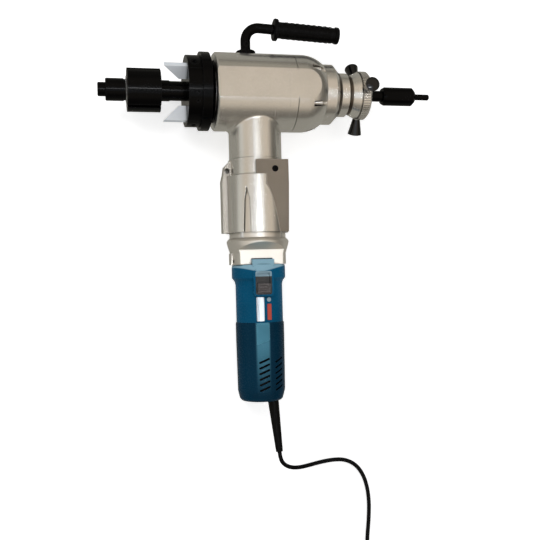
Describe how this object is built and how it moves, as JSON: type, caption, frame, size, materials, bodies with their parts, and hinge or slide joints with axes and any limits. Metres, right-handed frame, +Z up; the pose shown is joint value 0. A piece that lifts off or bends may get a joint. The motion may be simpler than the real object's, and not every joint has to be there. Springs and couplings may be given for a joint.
{
  "type": "pipe beveling machine",
  "caption": "Electric T-shaped pipe beveling machine with expanding mandrel, turning tool head, feed hub with knobs, swivelling side handle, gear case and motor with cord.",
  "frame": {"origin": "where the spindle line meets the drive line, inside the main body, with the machine lying on its side on a table", "axes": "-X along the spindle line towards the pipe, -Y down the drive line to the motor (which leans 2.8 degrees towards the table), +Z up from the table"},
  "size_m": [0.5055, 0.9755, 0.119],
  "materials": {
    "nickel_body": "machined, nickel tinted",
    "black_steel": "blackened, satin",
    "bright_steel": "ground",
    "tool_steel": "ground",
    "gear_steel": "machined",
    "silver_ring": "turned",
    "motor_blue": "satin moulded",
    "grey_plastic": "moulded",
    "pale_plastic": "moulded",
    "black_gloss": "polished",
    "grip_rubber": "ribbed",
    "cord_rubber": "smooth",
    "copper": "machined",
    "brass": "machined",
    "iron": "laminated",
    "plug_brass": "nickel plated"
  },
  "bodies": {
    "machine_frame": {"mandrel_key": "gear_steel", "spindle_bearings": "bright_steel", "front_seal": "cord_rubber", "main_body": "nickel_body", "rear_cover": "nickel_body", "rear_cover_screws": "bright_steel", "handle_boss": "silver_ring", "gear_case": "nickel_body", "clamp_bracket": "nickel_body", "clamp_screws": "black_steel", "ring_gear": "gear_steel", "input_plate": "nickel_body", "motor_adapter": "nickel_body", "flange_screws": "bright_steel", "motor_housing": "motor_blue", "motor_tail_cover": "motor_blue", "switch_frame": "pale_plastic", "switch_block": "cord_rubber", "stator": "iron", "brush_sets": "brass", "drive_bearings": "bright_steel", "strain_relief": "cord_rubber", "power_cord": "cord_rubber", "cord_coil": "cord_rubber", "coil_tie": "cord_rubber", "plug_body": "cord_rubber", "plug_pins": "plug_brass"},
    "tool_head": {"tool_head": "black_steel", "tool_blocks": "black_steel", "bevel_tools": "tool_steel", "tool_set_screws": "black_steel", "tool_adjust_screws": "bright_steel", "spindle": "gear_steel", "crown_gear": "gear_steel"},
    "output_shaft": {"pinion_shaft": "gear_steel", "planet_carrier": "gear_steel"},
    "planet_1": {"planet_gear_1": "gear_steel"},
    "planet_2": {"planet_gear_2": "gear_steel"},
    "planet_3": {"planet_gear_3": "gear_steel"},
    "armature": {"armature_shaft": "gear_steel", "armature_core": "iron", "commutator": "copper", "motor_fan": "grey_plastic"},
    "feed_hub": {"feed_hub": "nickel_body", "feed_spokes": "bright_steel", "feed_knobs": "black_gloss", "feed_thrust_ring": "gear_steel"},
    "mandrel": {"mandrel_tube": "black_steel"},
    "draw_rod": {"draw_rod": "black_steel", "wedge_core": "gear_steel", "nose_collar": "black_steel", "nose_nut": "black_steel"},
    "tension_nut": {"tension_nut": "black_steel"},
    "pad_1": {"expansion_pad_1": "black_steel"},
    "pad_2": {"expansion_pad_2": "black_steel"},
    "pad_3": {"expansion_pad_3": "black_steel"},
    "handle": {"handle_tube": "black_steel", "handle_grip": "grip_rubber", "handle_lock_screw": "bright_steel"},
    "switch_slider": {"switch_slider": "grey_plastic"}
  },
  "joints": [
    {"name": "tool_head_spin", "type": "hinge", "parent": "machine_frame", "child": "tool_head", "pos_m": [0, 0, 0], "axis": [1, 0, 0], "continuous": true},
    {"name": "output_spin", "type": "hinge", "parent": "machine_frame", "child": "output_shaft", "pos_m": [0, 0, 0], "axis": [0, 0.9988, 0.0496], "continuous": true},
    {"name": "planet_1_spin", "type": "hinge", "parent": "output_shaft", "child": "planet_1", "pos_m": [0, -0.14794, 0.01518], "axis": [0, 0.9988, 0.0496], "continuous": true},
    {"name": "planet_2_spin", "type": "hinge", "parent": "output_shaft", "child": "planet_2", "pos_m": [-0.01949, -0.14626, -0.01852], "axis": [0, 0.9988, 0.0496], "continuous": true},
    {"name": "planet_3_spin", "type": "hinge", "parent": "output_shaft", "child": "planet_3", "pos_m": [0.01949, -0.14626, -0.01852], "axis": [0, 0.9988, 0.0496], "continuous": true},
    {"name": "armature_spin", "type": "hinge", "parent": "machine_frame", "child": "armature", "pos_m": [0, -0.29963, -0.01487], "axis": [0, 0.9988, 0.0496], "continuous": true},
    {"name": "feed_turn", "type": "hinge", "parent": "machine_frame", "child": "feed_hub", "pos_m": [0.16, 0, 0], "axis": [-1, 0, 0], "range_deg": [-1080, 1260]},
    {"name": "mandrel_slide", "type": "slide", "parent": "machine_frame", "child": "mandrel", "axis": [1, 0, 0], "range_m": [-0.0121, 0.0141]},
    {"name": "tension_turn", "type": "hinge", "parent": "mandrel", "child": "tension_nut", "pos_m": [0.22, 0, 0], "axis": [-1, 0, 0], "range_deg": [-1098, 738]},
    {"name": "draw_rod_slide", "type": "slide", "parent": "mandrel", "child": "draw_rod", "axis": [1, 0, 0], "range_m": [-0.006, 0.004]},
    {"name": "pad_1_slide", "type": "slide", "parent": "mandrel", "child": "pad_1", "axis": [0, -0.0496, 0.9988], "range_m": [-0.0017, 0.0012]},
    {"name": "pad_2_slide", "type": "slide", "parent": "mandrel", "child": "pad_2", "axis": [0, -0.8402, -0.5423], "range_m": [-0.0017, 0.0012]},
    {"name": "pad_3_slide", "type": "slide", "parent": "mandrel", "child": "pad_3", "axis": [0, 0.8898, -0.4564], "range_m": [-0.0017, 0.0012]},
    {"name": "handle_swivel", "type": "hinge", "parent": "machine_frame", "child": "handle", "pos_m": [-0.0105, 0.06092, 0.00302], "axis": [0, -0.9988, -0.0496], "continuous": true},
    {"name": "switch_slide", "type": "slide", "parent": "machine_frame", "child": "switch_slider", "axis": [0, 0.9988, 0.0496], "range_m": [0, 0.006]}
  ],
  "couplings": [
    {"joint": "output_spin", "follows": "tool_head_spin", "ratio": 4},
    {"joint": "planet_1_spin", "follows": "tool_head_spin", "ratio": -10},
    {"joint": "planet_2_spin", "follows": "tool_head_spin", "ratio": -10},
    {"joint": "planet_3_spin", "follows": "tool_head_spin", "ratio": -10},
    {"joint": "armature_spin", "follows": "tool_head_spin", "ratio": 24},
    {"joint": "mandrel_slide", "follows": "feed_turn", "m_per_rad": 0.00063662},
    {"joint": "tension_turn", "follows": "draw_rod_slide", "rad_per_m": 3141.6},
    {"joint": "pad_1_slide", "follows": "draw_rod_slide", "ratio": 0.26795},
    {"joint": "pad_2_slide", "follows": "draw_rod_slide", "ratio": 0.26795},
    {"joint": "pad_3_slide", "follows": "draw_rod_slide", "ratio": 0.26795}
  ]
}
